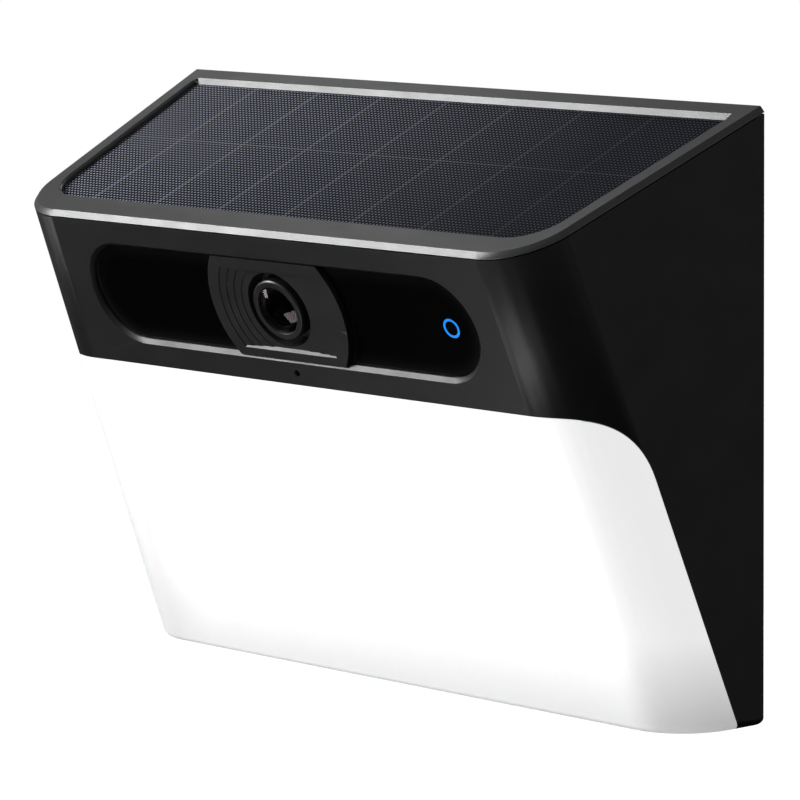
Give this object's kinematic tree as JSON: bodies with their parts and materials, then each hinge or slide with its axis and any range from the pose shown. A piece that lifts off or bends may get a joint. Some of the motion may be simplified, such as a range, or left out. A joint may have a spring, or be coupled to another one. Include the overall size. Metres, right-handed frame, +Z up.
{
  "type": "solar floodlight security camera",
  "caption": "Wall-mounted solar floodlight camera: sloping solar top, dark camera band with one lens, wrap-round opal light and a lift-off bracket.",
  "frame": {"origin": "centre of the wall bracket's back face, on the wall, half way up the unit", "axes": "+Z up the wall, -Y out of the wall towards the viewer, +X to the right seen from the front"},
  "size_m": [0.18, 0.0656, 0.135],
  "materials": {
    "satin_black": "satin",
    "frame_grey": "satin",
    "opal": "satin",
    "bracket_steel": "matte",
    "steel": "satin",
    "inner_black": "matte",
    "seal_rubber": "matte",
    "cell_black": "gloss",
    "backing_black": "satin",
    "window_black": "gloss",
    "status_blue": "satin",
    "lens_glass": "gloss",
    "barrel_black": "satin",
    "silicon": "gloss",
    "board_green": "satin",
    "board_white": "satin",
    "emitter_clear": "gloss",
    "led_yellow": "satin",
    "reflector_white": "satin",
    "chassis_aluminium": "brushed",
    "can_steel": "satin",
    "chip_black": "matte",
    "copper_film": "satin",
    "cell_wrap": "gloss",
    "port_steel": "polished",
    "ribbon_amber": "satin",
    "mesh_grey": "matte"
  },
  "bodies": {
    "bracket": {"wall_bracket": "bracket_steel"},
    "unit": {"housing": "satin_black", "diffuser": "opal", "back_cover": "inner_black", "cover_seal": "seal_rubber", "cover_screws": "steel", "solar_frame": "frame_grey", "solar_cells": "cell_black", "solar_backing": "backing_black", "camera_window": "window_black", "status_ring": "status_blue", "lens_bezel": "satin_black", "lens_barrel": "barrel_black", "lens_front": "lens_glass", "lens_group": "lens_glass", "lens_holder": "inner_black", "image_sensor": "silicon", "camera_board": "board_green", "night_emitters": "emitter_clear", "status_guide": "emitter_clear", "microphone": "can_steel", "led_board": "board_white", "leds": "led_yellow", "reflector_sheet": "reflector_white", "chassis": "chassis_aluminium", "main_board": "board_green", "shield_can": "can_steel", "board_chips": "chip_black", "antenna": "copper_film", "battery_cells": "cell_wrap", "battery_cradle": "inner_black", "speaker": "inner_black", "speaker_mesh": "mesh_grey", "usb_port": "port_steel", "key_switches": "chip_black", "port_board": "board_green", "camera_ribbon": "ribbon_amber"},
    "locking_screw": {"lock_screw": "steel"},
    "power_key": {"power_button": "satin_black"},
    "sync_key": {"sync_button": "satin_black"},
    "port_cover": {"usb_cover": "seal_rubber"}
  },
  "joints": [
    {"name": "unit_lift", "type": "slide", "parent": "bracket", "child": "unit", "axis": [0, 0, 1], "range_m": [0, 0.005]},
    {"name": "lock_screw_out", "type": "slide", "parent": "bracket", "child": "locking_screw", "axis": [0, 0, -1], "range_m": [0, 0.0095]},
    {"name": "power_press", "type": "slide", "parent": "unit", "child": "power_key", "axis": [0, 0, 1], "range_m": [0, 0.0005], "stiffness_N_per_m": 500, "springref_m": -0.0005},
    {"name": "sync_press", "type": "slide", "parent": "unit", "child": "sync_key", "axis": [0, 0, 1], "range_m": [0, 0.0005], "stiffness_N_per_m": 500, "springref_m": -0.0005},
    {"name": "usb_cover_swing", "type": "hinge", "parent": "unit", "child": "port_cover", "pos_m": [-0.04675, -0.0042, -0.06705], "axis": [0, 1, 0], "range_deg": [0, 110]}
  ]
}
